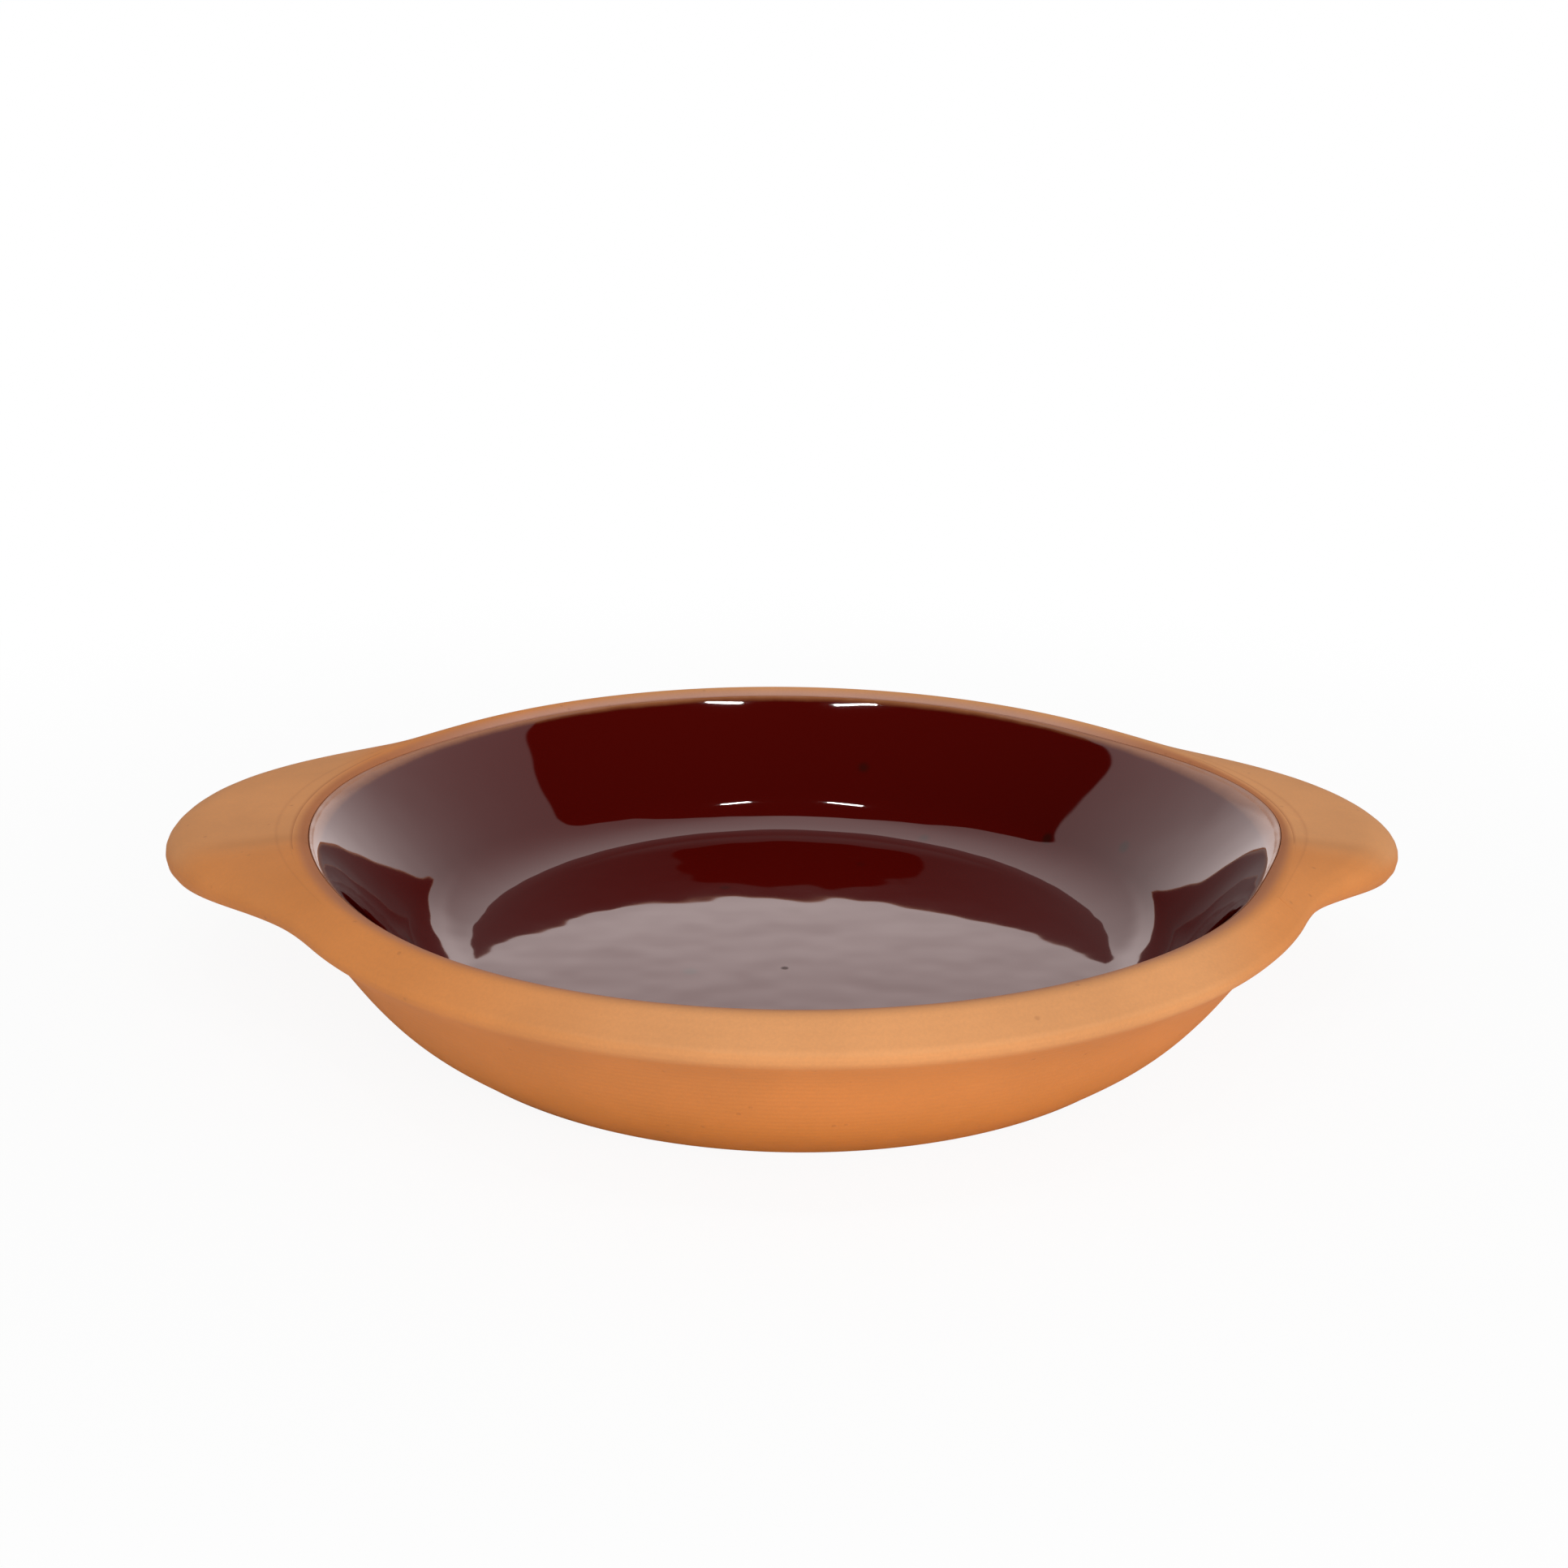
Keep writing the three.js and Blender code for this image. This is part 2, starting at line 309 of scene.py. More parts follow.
def rim_run(bowl, spread):
    """The top run of the bowl's outside, out from its crest."""
    line = even(collar_runs(bowl)[0], 24)
    drop = bowl.height - crest_at(bowl, spread)[1]
    return [(r + spread * (1 - i / 24), z - drop * (1 - i / 24)) for i, (r, z) in enumerate(line)]


def split_at(line, z):
    """The part of a falling line above a height, its point there, and the rest of it."""
    k = next(i for i, point in enumerate(line) if point[1] <= z)
    a, b = line[k - 1], line[k]
    t = (z - a[1]) / (b[1] - a[1])
    foot = (a[0] + (b[0] - a[0]) * t, z)
    return line[:k] + [foot], foot, [foot] + line[k:]


def lug_runs(bowl, lugs, overhang, spread):
    """Outside of a lug in full: the top run to its edge, and the run down to its foot on the wall."""
    tip = bowl.collar_radius + overhang
    edge = bowl.height - LUG_TOP_DROP - LUG_SAG - LUG_FALL_T
    top = [crest_at(bowl, spread)] + oval(tip - LUG_FALL_W, edge, LUG_FALL_W, LUG_FALL_T, 90, 0, 16)
    under = oval(tip - LUG_UNDER_W, edge, LUG_UNDER_W, LUG_UNDER_T, 0, -90, 8)
    low = collar_runs(bowl)[1]
    _, foot, rest = split_at(low, bowl.height - lugs.foot_drop)
    lean = (foot[0] - rest[2][0]) / (foot[1] - rest[2][1])
    corner = (foot[0] + lean * (under[-1][1] - foot[1]), under[-1][1])
    start = (corner[0] + LUG_FILLET, corner[1])
    return top, under + bent([start, corner, corner, foot], 12)


def bent(handles, steps):
    """Points of a Bezier curve with four handles."""
    line = []
    for i in range(steps + 1):
        t = i / steps
        line.append(tuple(
            (1 - t) ** 3 * a + 3 * t * (1 - t) ** 2 * b + 3 * t * t * (1 - t) * c + t ** 3 * d
            for a, b, c, d in zip(*handles)))
    return line


def inside_runs(bowl, spread=0.0):
    """The lip's clay from its crest in to the edge of the glaze, and the glaze on to the floor's middle."""
    pull = max(spread - bowl.rim_spread, 0)
    crest = crest_at(bowl, spread)
    roll, edge = LIP_ROLL + 0.3 * pull, GLAZE_EDGE - 6 * pull / MM
    low = (crest[0], crest[1] - roll)
    lip = arc(*low, roll, 90, edge, 12)
    shoulder = arc(*low, roll, edge, ROLL_END, 10)
    cove = arc(bowl.base_radius - COVE_SETBACK, bowl.floor_height + COVE_RADIUS,
               COVE_RADIUS, COVE_TURN, -90, 24)
    head, foot = shoulder[-1], cove[0]
    third = math.dist(head, foot) / 3
    top_slope, foot_slope = math.radians(WALL_TOP_SLOPE), math.radians(WALL_FOOT_SLOPE)
    wall = bent([
        head,
        (head[0] - 0.7 * third * math.cos(top_slope), head[1] - 0.7 * third * math.sin(top_slope)),
        (foot[0] + third * math.cos(foot_slope), foot[1] + third * math.sin(foot_slope)),
        foot,
    ], 24)
    return lip, shoulder + wall[1:-1] + cove + [(0, bowl.floor_height)]


# ---------------------------------------------------------------- modelling

def clear_selection():
    """Leaves nothing selected, in object mode."""
    if bpy.context.mode != "OBJECT":
        bpy.ops.object.mode_set(mode="OBJECT")
    bpy.ops.object.select_all(action="DESELECT")


def drawn(name, points, turn):
    """A new object in edit mode: a line of edges drawn point by point in the plane at a turn."""
    clear_selection()
    places = [Vector((r * math.cos(turn), r * math.sin(turn), z)) for r, z in points]
    bpy.ops.mesh.primitive_plane_add(size=MM, location=places[0])
    piece = bpy.context.object
    piece.name = piece.data.name = name
    bpy.ops.object.transform_apply(location=True, rotation=True, scale=True)
    bpy.ops.object.mode_set(mode="EDIT")
    bpy.ops.mesh.select_mode(type="VERT")
    bpy.ops.mesh.select_all(action="SELECT")
    bpy.ops.mesh.merge(type="CENTER")
    for here, there in zip(places, places[1:]):
        bpy.ops.mesh.extrude_region_move(TRANSFORM_OT_translate={"value": there - here})
    bpy.ops.mesh.select_all(action="SELECT")
    return piece


def near_edge(line, start=0.0):
    """For each point of a line that leaves the edge of the glaze: 1 at the edge, down to 0 further on."""
    marks, gone = [], start
    for i, point in enumerate(line):
        gone += math.dist(point, line[i - 1]) if i else 0
        marks.append(max(1 - gone / EDGE_WIDTH, 0.0))
    return marks


def turned(name, points, marks, steps, start=0.0, sweep=2 * math.pi):
    """A section turned about the Z axis through a sweep, its ends and its seam still open."""
    piece = drawn(name, points, start)
    bpy.ops.object.mode_set(mode="OBJECT")
    piece.data.attributes.new("near_edge", "FLOAT", "POINT").data.foreach_set("value", marks)
    bpy.ops.object.mode_set(mode="EDIT")
    bpy.ops.mesh.select_all(action="SELECT")
    bpy.ops.mesh.spin(steps=steps, angle=sweep, center=(0, 0, 0), axis=(0, 0, 1))
    bpy.ops.object.mode_set(mode="OBJECT")
    return piece


def swollen(piece, *shapes):
    """Blends a piece into other shapes of it, each about its own turn and fading out over its sweeps."""
    for other, turn, clockwise, counter in shapes:
        clear_selection()
        other.select_set(True)
        piece.select_set(True)
        bpy.context.view_layer.objects.active = piece
        bpy.ops.object.join_shapes()
        group = piece.vertex_groups.new(name=other.name)
        for vertex in piece.data.vertices:
            angle = math.atan2(vertex.co.y, vertex.co.x) - turn
            angle = (angle + math.pi) % (2 * math.pi) - math.pi
            share = abs(angle) / (counter if angle > 0 else clockwise)
            if share < 1:
                group.add([vertex.index], (1 - share ** 2.13) ** 3.03, "REPLACE")
        key = piece.data.shape_keys.key_blocks[-1]
        key.vertex_group = group.name
        key.value = 1.0
        bpy.data.objects.remove(other)
    clear_selection()
    piece.select_set(True)
    bpy.context.view_layer.objects.active = piece
    piece.active_shape_key_index = len(shapes)
    bpy.context.view_layer.update()
    bpy.ops.object.shape_key_remove(all=True, apply_mix=True)
    piece.vertex_groups.clear()


def finished(piece, material, slot_name, *nodes):
    """Ends a piece: closed, smooth, with its material, its body and the nodes it stands for."""
    bpy.ops.object.mode_set(mode="EDIT")
    bpy.ops.mesh.select_all(action="SELECT")
    bpy.ops.mesh.remove_doubles(threshold=2e-6)
    bpy.ops.mesh.select_all(action="DESELECT")
    bpy.ops.mesh.select_non_manifold()
    if piece.data.total_vert_sel:
        bpy.ops.mesh.edge_face_add()
    bpy.ops.mesh.select_all(action="SELECT")
    bpy.ops.mesh.normals_make_consistent(inside=False)
    bpy.ops.object.mode_set(mode="OBJECT")
    bpy.ops.object.shade_smooth_by_angle(angle=math.radians(40))
    piece.data.materials.clear()
    piece.data.materials.append(material)
    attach(piece, "root")
    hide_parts(*nodes)
    return piece


# ---------------------------------------------------------------- materials

class Nodes:
    """A small hand for adding and joining nodes of one tree."""

    def __init__(self, tree):
        self.tree = tree
        tree.nodes.clear()

    def add(self, kind, inputs=None, **settings_):
        node = self.tree.nodes.new(kind)
        for key, value in settings_.items():
            setattr(node, key, value)
        for key, value in (inputs or {}).items():
            self.put(node.inputs[key], value)
        return node

    def put(self, socket, value):
        if isinstance(value, bpy.types.NodeSocket):
            self.tree.links.new(value, socket)
        else:
            socket.default_value = value

    def maths(self, operation, *values, clamp=False):
        return self.add("ShaderNodeMath", dict(enumerate(values)), operation=operation,
                        use_clamp=clamp).outputs[0]

    def ramp(self, value, low, high, start=0.0, end=1.0):
        return self.add("ShaderNodeMapRange", {
            "Value": value, "From Min": low, "From Max": high, "To Min": start, "To Max": end,
        }, interpolation_type="SMOOTHSTEP").outputs[0]

    def mix(self, share, first, second, blend="MIX"):
        node = self.add("ShaderNodeMix", data_type="RGBA", blend_type=blend, clamp_factor=True)
        for socket, value in zip((node.inputs[0], node.inputs[6], node.inputs[7]), (share, first, second)):
            self.put(socket, value)
        return node.outputs[2]

    def spot(self, place, centre, radius):
        away = self.add("ShaderNodeVectorMath", {0: place, 1: centre}, operation="DISTANCE")
        return self.ramp(away.outputs["Value"], radius * 0.5, radius * 1.2, 1.0, 0.0)

    def noise(self, vector, scale, detail=3.0, roughness=0.5):
        return self.add("ShaderNodeTexNoise", {
            "Vector": vector, "Scale": scale, "Detail": detail, "Roughness": roughness,
        }).outputs["Fac"]


def paint(colour):
    """A colour with its alpha."""
    return (*colour, 1.0)


def handmade_group():
    """Unevenness that a hand and a kiln leave: soft mottling, fine grain, and sparse pits."""
    group = bpy.data.node_groups.new("Handmade unevenness", "ShaderNodeTree")
    for name, kind in (("Vector", "NodeSocketVector"), ("Mottle size", "NodeSocketFloat"),
                       ("Grain size", "NodeSocketFloat")):
        group.interface.new_socket(name=name, in_out="INPUT", socket_type=kind)
    for name in ("Mottle", "Grain", "Pits"):
        group.interface.new_socket(name=name, in_out="OUTPUT", socket_type="NodeSocketFloat")
    n = Nodes(group)
    given = n.add("NodeGroupInput").outputs
    result = n.add("NodeGroupOutput")
    n.put(result.inputs["Mottle"], n.noise(given["Vector"], given["Mottle size"], 4.0, 0.55))
    n.put(result.inputs["Grain"], n.noise(given["Vector"], given["Grain size"], 5.0, 0.7))
    cells = n.add("ShaderNodeTexVoronoi", {
        "Vector": given["Vector"], "Scale": n.maths("MULTIPLY", given["Grain size"], 0.28),
        "Randomness": 1.0})
    rare = n.add("ShaderNodeSeparateColor", {"Color": cells.outputs["Color"]}).outputs[0]
    chosen = n.maths("GREATER_THAN", rare, 0.965)
    pit = n.ramp(cells.outputs["Distance"], 0.10, 0.30, 1.0, 0.0)
    n.put(result.inputs["Pits"], n.maths("MULTIPLY", chosen, pit))
    return group


def terracotta(finish, unevenness):
    """Fired red clay: matt, paler where it faces up with painted sheen and light from above, darker towards
    the base, finely grained.
    """
    material = bpy.data.materials.new("Terracotta")
    material.use_nodes = True
    n = Nodes(material.node_tree)
    place = n.add("ShaderNodeTexCoord").outputs["Object"]
    marks = n.add("ShaderNodeGroup", node_tree=unevenness)
    for key, value in (("Vector", place), ("Mottle size", 28.0), ("Grain size", 1500.0)):
        n.put(marks.inputs[key], value)
    split = n.add("ShaderNodeSeparateXYZ", {0: place}).outputs
    facing = n.add("ShaderNodeNewGeometry").outputs["Normal"]
    up = n.add("ShaderNodeSeparateXYZ", {0: facing}).outputs["Z"]
    mottle, grain, pits = (marks.outputs[name] for name in ("Mottle", "Grain", "Pits"))
    side = n.maths("ABSOLUTE", split["X"])
    on_lug = n.ramp(side, 110 * MM, 123 * MM)
    # Painted sheen and painted light from above on a pale dusty film: paler where the clay faces up and on
    # the collar; less at the lugs' fronts, and painted shade on the left, away from the key lamp at the
    # front right
    upward_dust_and_sheen = n.maths("MULTIPLY_ADD", mottle, 0.5, up)
    collar = n.ramp(split["Z"], 33.5 * MM, 37 * MM, 0.0, 0.8)
    collar = n.maths("MULTIPLY", collar, n.ramp(side, 100 * MM, 120 * MM, 1.0, 0.0))
    dust_and_sheen = n.maths("MAXIMUM", n.ramp(upward_dust_and_sheen, 0.15, 0.95), collar)
    # Less painted sheen on the fronts of the lugs, where the narrow front light falls less
    front = n.ramp(split["Y"], -32 * MM, -14 * MM, 0.85, 0.0)
    flank = n.maths("MULTIPLY", n.ramp(side, 78 * MM, 108 * MM), front)
    dust_and_sheen = n.maths("MULTIPLY", dust_and_sheen, n.maths("SUBTRACT", 1.0, flank))
    # Painted shade: less pale on the left, away from the key lamp at the front right
    left = n.ramp(split["X"], -90 * MM, -15 * MM, 0.1, 1.0)
    left = n.maths("MAXIMUM", left, n.maths("MULTIPLY", on_lug, 0.8))
    dust_and_sheen = n.maths("MULTIPLY", dust_and_sheen, left)
    colour = n.mix(dust_and_sheen, paint(finish.clay), paint(finish.dust_and_sheen))
    # Darker towards the base, and unevenly fired
    low = n.ramp(n.maths("MULTIPLY_ADD", mottle, 6 * MM, split["Z"]), 2 * MM, 27 * MM, 1.0, 0.0)
    colour = n.mix(low, colour, paint(finish.foot))
    tone = n.ramp(mottle, 0.25, 0.75, 0.93, 1.06)
    tone = n.maths("MULTIPLY", tone, n.ramp(grain, 0.2, 0.8, 0.95, 1.05))
    # Painted shade: a soft darker band along the crease on top of each lug
    painted_crease_shade = n.maths("ABSOLUTE", n.maths("ADD", split["Y"], 21 * MM))
    painted_crease_shade = n.ramp(painted_crease_shade, 0.0, 5 * MM, 1.0, 0.0)
    painted_crease_shade = n.maths("MULTIPLY", painted_crease_shade, n.ramp(side, 132 * MM, 150 * MM, 1.0, 0.0))
    painted_crease_shade = n.maths("MULTIPLY", painted_crease_shade, on_lug)
    tone = n.maths("MULTIPLY", tone, n.maths("MULTIPLY_ADD", painted_crease_shade, -0.08, 1.0))
    # Painted sheen: greyer on the inner side of the lip, seen at a grazing view; browner beside the glaze
    outward = n.add("ShaderNodeVectorMath", {0: place, 1: (1, 1, 0)}, operation="MULTIPLY").outputs[0]
    outward = n.add("ShaderNodeVectorMath", {0: outward}, operation="NORMALIZE").outputs[0]
    lean = n.add("ShaderNodeVectorMath", {0: outward, 1: facing}, operation="DOT_PRODUCT").outputs["Value"]
    inner = n.ramp(lean, -0.6, -0.06, 1.0, 0.0)
    colour = n.mix(n.maths("MULTIPLY", inner, 0.75), colour, paint(finish.lip))
    stain = n.add("ShaderNodeAttribute", attribute_name="near_edge").outputs["Fac"]
    stain = n.maths("MULTIPLY", n.ramp(stain, 0.1, 0.8), n.ramp(side, 80 * MM, 112 * MM, 0.65, 0.9))
    stain = n.maths("MULTIPLY", stain, n.ramp(split["Y"], 40 * MM, 100 * MM, 1.0, 0.2))
    colour = n.mix(stain, colour, paint(finish.stain))
    shade = n.add("ShaderNodeCombineColor", {0: tone, 1: tone, 2: tone}).outputs[0]
    colour = n.mix(1.0, colour, shade, "MULTIPLY")
    colour = n.mix(n.maths("MULTIPLY", pits, 0.25), colour, (0.30, 0.10, 0.04, 1.0))
    colour = n.mix(n.spot(place, PALE_PIT, 0.9 * MM), colour, (0.95, 0.62, 0.40, 1.0))
    rings = n.add("ShaderNodeTexWave", {
        "Vector": place, "Scale": 230.0, "Distortion": 1.5, "Detail": 2.0, "Detail Scale": 0.15,
    }, wave_type="BANDS", bands_direction="Z", wave_profile="SIN").outputs["Fac"]
    height = n.maths("MULTIPLY_ADD", grain, 0.10, n.maths("MULTIPLY", rings, 0.12))
    height = n.maths("MULTIPLY_ADD", mottle, 0.7, height)
    height = n.maths("MULTIPLY_ADD", pits, -0.25, height)
    bump = n.add("ShaderNodeBump", {"Height": height, "Strength": 0.55, "Distance": 0.4 * MM})
    shader = n.add("ShaderNodeBsdfPrincipled", {
        "Base Color": colour, "Roughness": n.ramp(grain, 0.2, 0.8, 0.70, 0.86),
        "IOR": 1.45, "Normal": bump.outputs[0]})
    n.put(n.add("ShaderNodeOutputMaterial").inputs["Surface"], shader.outputs[0])
    return material


def oxblood_glaze(finish, unevenness):
    """Dark red glaze: deep and glossy, thin and brown along its edge on the lip."""
    material = bpy.data.materials.new("Oxblood glaze")
    material.use_nodes = True
    n = Nodes(material.node_tree)
    place = n.add("ShaderNodeTexCoord").outputs["Object"]
    marks = n.add("ShaderNodeGroup", node_tree=unevenness)
    for key, value in (("Vector", place), ("Mottle size", 22.0), ("Grain size", 420.0)):
        n.put(marks.inputs[key], value)
    pits = marks.outputs["Pits"]
    edge = n.add("ShaderNodeAttribute", attribute_name="near_edge").outputs["Fac"]
    edge = n.maths("ADD", edge, n.maths("MULTIPLY_ADD", n.noise(place, 160.0, 2.0), 0.12, -0.06))
    thin = n.ramp(edge, 0.62, 1.0)
    colour = n.mix(thin, paint(finish.glaze), paint(finish.thin_glaze))
    speck = n.spot(place, DARK_SPECK, 1.1 * MM)
    marked = n.maths("MULTIPLY", n.maths("MAXIMUM", pits, speck), 0.7)
    colour = n.mix(marked, colour, (0.02, 0.005, 0.003, 1.0))
    rough = n.maths("MULTIPLY_ADD", n.ramp(edge, 0.9, 1.0), 0.3, 0.04)
    rough = n.maths("MULTIPLY_ADD", speck, 0.3, rough)
    coat = n.maths("SUBTRACT", 1.0, n.maths("MAXIMUM", n.ramp(edge, 0.9, 1.0), speck))
    waves = n.noise(place, 60.0, 1.0, 0.4)
    bump = n.add("ShaderNodeBump", {"Height": waves, "Strength": 0.5, "Distance": 0.32 * MM})
    shader = n.add("ShaderNodeBsdfPrincipled", {
        "Base Color": colour, "Roughness": rough, "IOR": 1.8, "Normal": bump.outputs[0],
        "Coat Weight": coat, "Coat IOR": 1.6, "Coat Roughness": 0.03, "Coat Normal": bump.outputs[0]})
    n.put(n.add("ShaderNodeOutputMaterial").inputs["Surface"], shader.outputs[0])
    return material


def material_named(name, make, *given):
    """A material of the scene, made the first time it is asked for."""
    return bpy.data.materials.get(name) or make(*given)


def shared_unevenness():
    """The group of unevenness, made the first time it is asked for."""
    return bpy.data.node_groups.get("Handmade unevenness") or handmade_group()


# ---------------------------------------------------------------- the pieces

def lug_spans(lugs):
    """Where each lug points, and its sweeps clockwise and counter-clockwise seen from above."""
    return ((lugs.left_turn, lugs.left_back, lugs.left_front),
            (lugs.right_turn, lugs.right_front, lugs.right_back))


def pulled(name, section_for):
    """A turned piece whose rim each lug has pulled outwards, from a function that draws its section."""
    bowl, lugs, _, _ = settings()
    spreads = (bowl.rim_spread, lugs.left_spread, lugs.right_spread, bowl.front_spread)
    piece, *sides = [turned(f"{name}{i or ''}", *section_for(spread), bowl.facets)
                     for i, spread in enumerate(spreads)]
    spans = (*lug_spans(lugs), (bowl.front_turn, math.radians(80), math.radians(50)))
    swollen(piece, *((side, *span) for side, span in zip(sides, spans)))
    return piece


class DISH_OT_bowl(bpy.types.Operator):
    """Turn the bowl: base, wall, collar, lip and the clay under the glaze"""

    bl_idname = "dish.bowl"
    bl_label = "Bowl"

    def execute(self, context):
        clay = material_named("Terracotta", terracotta, settings()[2], shared_unevenness())
        finished(pulled("dish_clay", self.section), clay, "terracotta", "dish_body")
        return {"FINISHED"}

    def section(self, spread):
        """From the middle of the base out, up the wall, over the lip and in along the glaze's bed."""
        bowl = settings()[0]
        outside = (rim_run(bowl, spread) + even(collar_runs(bowl)[1], 48)[1:])[::-1]
        lip, basin = inside_runs(bowl, spread)
        bed = moved(basin, -BED_DEPTH)
        bed[-1] = (0, bed[-2][1])
        rim = outside + lip[1:-1]
        marks = [0, 0, *near_edge(rim[::-1])[::-1], *near_edge(bed)]
        return [(0, 0), (bowl.base_radius * 0.5, 0), *rim, *bed], marks


class DISH_OT_lugs(bpy.types.Operator):
    """Draw the two lug handles out of the collar, each fading back into it"""

    bl_idname = "dish.lugs"
    bl_label = "Lug handles"

    def execute(self, context):
        lugs = settings()[1]
        left, right = lug_spans(lugs)
        self.lug("left", lugs.left_overhang, lugs.left_spread, *left)
        self.lug("right", lugs.right_overhang, lugs.right_spread, *right)
        return {"FINISHED"}

    def lug(self, side, overhang, spread, turn, clockwise, counter):
        """A sector just under the collar and the same sector as a full lug, blended into one."""
        bowl, lugs, finish, _ = settings()
        step = math.pi / bowl.facets
        start = math.ceil((turn + counter) / step) * step
        steps = math.ceil((start - turn + clockwise) / step)
        under = split_at(collar_runs(bowl)[1], bowl.height - lugs.foot_drop)[0]
        collar = moved(rim_run(bowl, bowl.rim_spread) + even(under, 24)[1:], HAIR)
        full_top, full_under = lug_runs(bowl, lugs, overhang, spread)
        full = moved(even(full_top, 24) + even(full_under, 24)[1:], -HAIR)
        pieces = []
        for name, line in ((f"ear_{side}_clay", collar), (f"ear_{side}_full", full)):
            back = [(collar[-1][0] - 3 * MM, collar[-1][1] + 1 * MM),
                    (line[0][0] - 1 * MM, line[0][1] - 4 * MM)]
            marks = near_edge(full, 2.5 * MM)
            marks += [0, 0, marks[0]]
            pieces.append(turned(name, [*line, *back, line[0]], marks, steps, start, steps * step))
        swollen(pieces[0], (pieces[1], turn, clockwise, counter))
        clay = material_named("Terracotta", terracotta, finish, shared_unevenness())
        finished(pieces[0], clay, "terracotta", f"ear_{side}", f"slip_seam_{side}")


class DISH_OT_glaze(bpy.types.Operator):
    """Line the inside with glaze, which spills further over the lip at the lugs"""

    bl_idname = "dish.glaze"
    bl_label = "Glaze lining"

    def execute(self, context):
        glaze = material_named("Oxblood glaze", oxblood_glaze, settings()[2], shared_unevenness())
        finished(pulled("glaze_skin", self.section), glaze, "glaze", "glaze_lining")
        return {"FINISHED"}

    def section(self, spread):
        """A closed skin along the inside, a hair proud of the clay."""
        line = inside_runs(settings()[0], spread)[1]
        surface, skin = moved(line, HAIR), moved(line, -SKIN_DEPTH)
        for run in (surface, skin):
            run[-1] = (0, run[-2][1])
        marks = near_edge(line)
        return surface + skin[::-1] + surface[:1], marks + marks[::-1] + marks[:1]


# ---------------------------------------------------------------- the stage

def studio_world(studio):
    """An even light. Glossy rays see a pale backdrop behind the dish and a dark room before it."""
    world = bpy.data.worlds.new("Studio")
    bpy.context.scene.world = world
    world.use_nodes = True
    n = Nodes(world.node_tree)
    way = n.add("ShaderNodeTexCoord").outputs["Generated"]
    x, y, z = n.add("ShaderNodeSeparateXYZ", {0: way}).outputs
    # The edge of the room, with two low rises in it
    left_hill = n.maths("MULTIPLY", n.ramp(x, -0.90, -0.72), n.ramp(x, -0.68, -0.46, 1.0, 0.0))
    right_hill = n.maths("MULTIPLY", n.ramp(x, 0.46, 0.62), n.ramp(x, 0.66, 0.86, 1.0, 0.0))
    hills = n.maths("MULTIPLY_ADD", left_hill, 0.13, n.maths("MULTIPLY", right_hill, 0.08))
    hills = n.maths("ADD", hills, n.ramp(z, 0.88, 0.99, 0.06, 0.14))
    edge = n.maths("SUBTRACT", n.maths("MULTIPLY_ADD", x, 0.1, y), hills)
    behind = n.ramp(edge, -0.008, 0.008)
    # The backdrop is brightest straight behind the dish and low down
    level_way = n.add("ShaderNodeVectorMath", {0: way, 1: (1, 1, 0)}, operation="MULTIPLY").outputs[0]
    level_way = n.add("ShaderNodeVectorMath", {0: level_way}, operation="NORMALIZE").outputs[0]
    across, ahead, _ = n.add("ShaderNodeSeparateXYZ", {0: level_way}).outputs
    square = n.maths("MULTIPLY", ahead, ahead)
    wash = n.maths("MULTIPLY_ADD", square, 0.285, 0.30)
    wash = n.maths("MULTIPLY", wash, n.maths("MULTIPLY_ADD", across, -0.12, 1.0))
    low = n.maths("MULTIPLY", n.ramp(z, 0.36, 0.46, 0.41, 0.0), n.maths("POWER", square, 4.0))
    # A ray that has been mirrored before sees it dimmer
    rays = n.add("ShaderNodeLightPath").outputs
    again = n.ramp(rays["Glossy Depth"], 1.4, 1.6, 1.0, 0.28)
    behind = n.maths("MULTIPLY", behind, again)
    glossy = n.maths("MULTIPLY_ADD", behind, n.maths("ADD", wash, low), 0.004)
    level = n.add("ShaderNodeMix", {
        0: rays["Is Glossy Ray"], 2: studio.ambient, 3: glossy}).outputs[0]
    seen = n.add("ShaderNodeMix", {0: rays["Is Camera Ray"], 2: level, 3: 1.0}).outputs[0]
    tint = n.mix(rays["Is Glossy Ray"], (1, 1, 1, 1), (1.0, 0.87, 0.855, 1))
    light = n.add("ShaderNodeBackground", {"Color": tint, "Strength": seen})
    n.put(n.add("ShaderNodeOutputWorld").inputs["Surface"], light.outputs[0])


def paper():
    """Pale paper floor that turns plain white away from the dish."""
    material = bpy.data.materials.new("Paper")
    material.use_nodes = True
    n = Nodes(material.node_tree)
    place = n.add("ShaderNodeTexCoord").outputs["Object"]
    reach = n.add("ShaderNodeVectorMath", {0: place}, operation="LENGTH").outputs["Value"]
    far = n.ramp(reach, 0.15, 0.5, 0.92, 1.0)
    seen = n.add("ShaderNodeLightPath").outputs["Is Camera Ray"]
    share = n.maths("MULTIPLY", far, seen)
    matt = n.add("ShaderNodeBsdfDiffuse", {"Color": (0.93, 0.93, 0.925, 1)})
    white = n.add("ShaderNodeEmission", {"Color": (1, 1, 1, 1), "Strength": 1.0})
    mixed = n.add("ShaderNodeMixShader", {0: share, 1: matt.outputs[0], 2: white.outputs[0]})
    n.put(n.add("ShaderNodeOutputMaterial").inputs["Surface"], mixed.outputs[0])
    return material


def lamp(name, target, turn, rise, distance, size, power):
    """A rectangular lamp aimed at the dish; its turn to the right and its rise are in degrees."""
    turn, rise = math.radians(turn), math.radians(rise)
    away = Vector((math.sin(turn) * math.cos(rise), -math.cos(turn) * math.cos(rise), math.sin(rise)))
    bpy.ops.object.light_add(type="AREA", location=target + away * distance)
    made = bpy.context.object
    made.name = name
    made.data.shape = "RECTANGLE"
    made.data.size, made.data.size_y = size
    made.data.energy = power
    made.rotation_euler = away.to_track_quat("Z", "Y").to_euler()
    return made


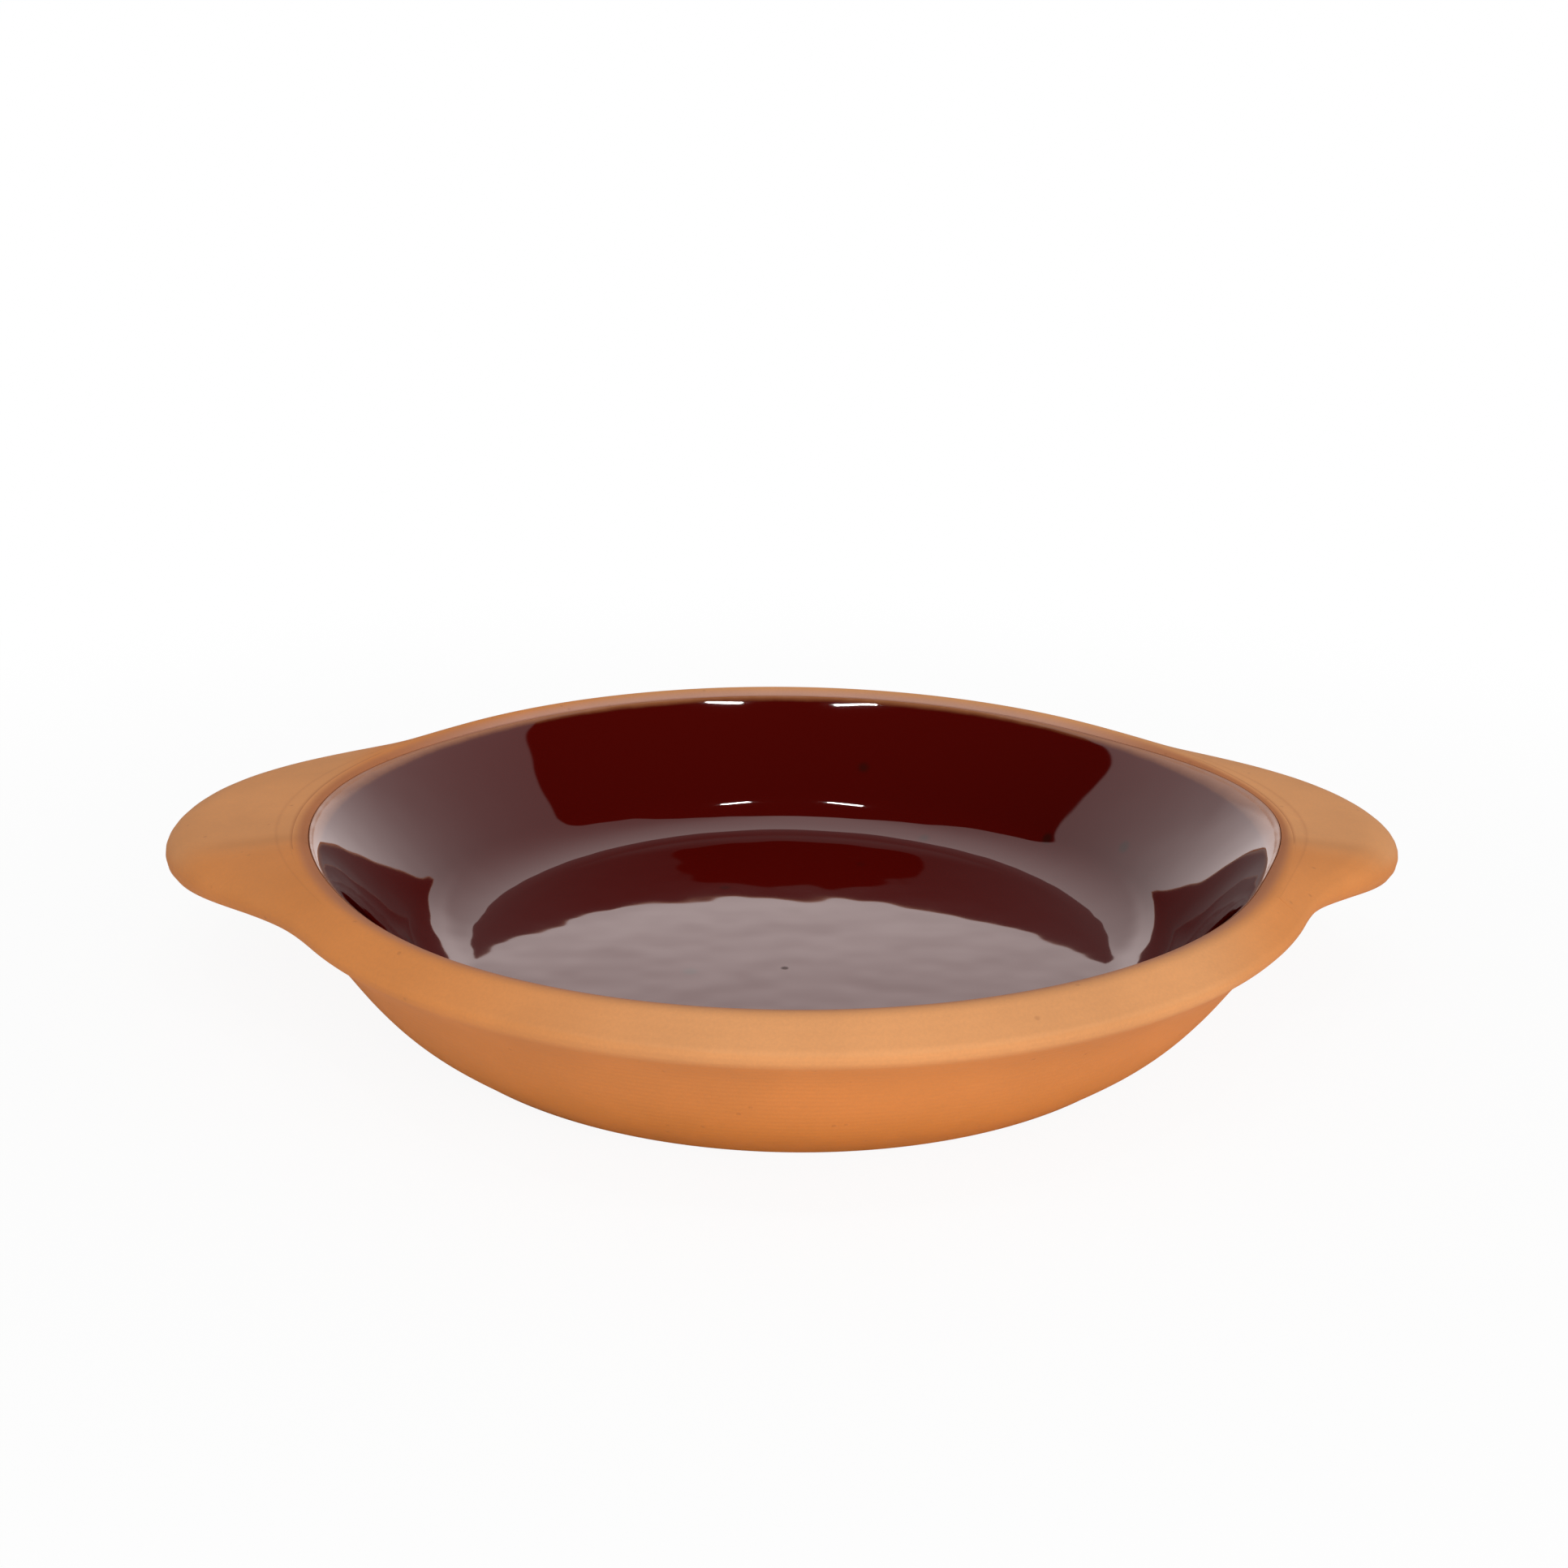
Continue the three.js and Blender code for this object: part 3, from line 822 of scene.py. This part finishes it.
class DISH_OT_stage(bpy.types.Operator):
    """Set the paper floor, the even light, two soft lamps and the camera"""

    bl_idname = "dish.stage"
    bl_label = "Stage"

    def execute(self, context):
        bowl, _, _, studio = settings()
        clear_selection()
        bpy.ops.mesh.primitive_circle_add(vertices=96, radius=3.0, fill_type="NGON", location=(0, 0, 0))
        floor = bpy.context.object
        floor.name = "paper_floor"
        floor.data.materials.append(paper())
        studio_world(studio)
        rim = Vector((0, 0, bowl.height))
        lamp("front_softbox", rim, 18, 22, 1.2, (0.9, 0.9), studio.key).visible_glossy = False
        lamp("top_lamp_left", rim, -35, 70.5, 1.6, (0.2, 0.03), studio.top)
        lamp("top_lamp_right", rim, 35, 70.5, 1.6, (0.2, 0.03), studio.top)
        back = Vector((-math.sin(studio.yaw) * math.cos(studio.pitch),
                       -math.cos(studio.yaw) * math.cos(studio.pitch), math.sin(studio.pitch)))
        bpy.ops.object.camera_add(location=rim + back * studio.distance)
        camera = bpy.context.object
        camera.name = "camera"
        camera.rotation_euler = (back.to_track_quat("Z", "Y")
                                 @ Matrix.Rotation(studio.roll, 3, "Z").to_quaternion()).to_euler()
        camera.data.sensor_width = 36
        camera.data.lens = studio.lens
        camera.data.shift_x = SHIFT_X / IMAGE
        camera.data.shift_y = SHIFT_Y / IMAGE
        camera.data.clip_start = 0.01
        camera.data.dof.use_dof = False
        scene = bpy.context.scene
        scene.camera = camera
        scene.view_settings.view_transform = "Standard"
        return {"FINISHED"}


class DISH_PT_panel(bpy.types.Panel):
    """Panel in the sidebar that lists the pieces"""

    bl_idname = "DISH_PT_panel"
    bl_label = "Baking dish"
    bl_space_type = "VIEW_3D"
    bl_region_type = "UI"
    bl_category = "Baking dish"

    def draw(self, context):
        for operator in (DISH_OT_stage, DISH_OT_bowl, DISH_OT_lugs, DISH_OT_glaze):
            self.layout.operator(operator.bl_idname)
        for group in settings():
            box = self.layout.box()
            for name in group.bl_rna.properties.keys():
                if name not in ("rna_type", "name"):
                    box.prop(group, name)


GROUPS = {"dish_bowl": BowlSizes, "dish_lugs": LugSizes, "dish_finish": Finish, "dish_studio": Studio}
OPERATORS = (DISH_OT_stage, DISH_OT_bowl, DISH_OT_lugs, DISH_OT_glaze)


def register():
    for name, group in GROUPS.items():
        bpy.utils.register_class(group)
        setattr(bpy.types.Scene, name, bpy.props.PointerProperty(type=group))
    for cls in (*OPERATORS, DISH_PT_panel):
        bpy.utils.register_class(cls)


def unregister():
    for cls in (DISH_PT_panel, *reversed(OPERATORS)):
        bpy.utils.unregister_class(cls)
    for name, group in GROUPS.items():
        delattr(bpy.types.Scene, name)
        bpy.utils.unregister_class(group)


def main():
    register()
    bpy.ops.dish.stage()
    bpy.ops.dish.bowl()
    bpy.ops.dish.lugs()
    bpy.ops.dish.glaze()
    clear_selection()


if __name__ == "__main__":
    main()
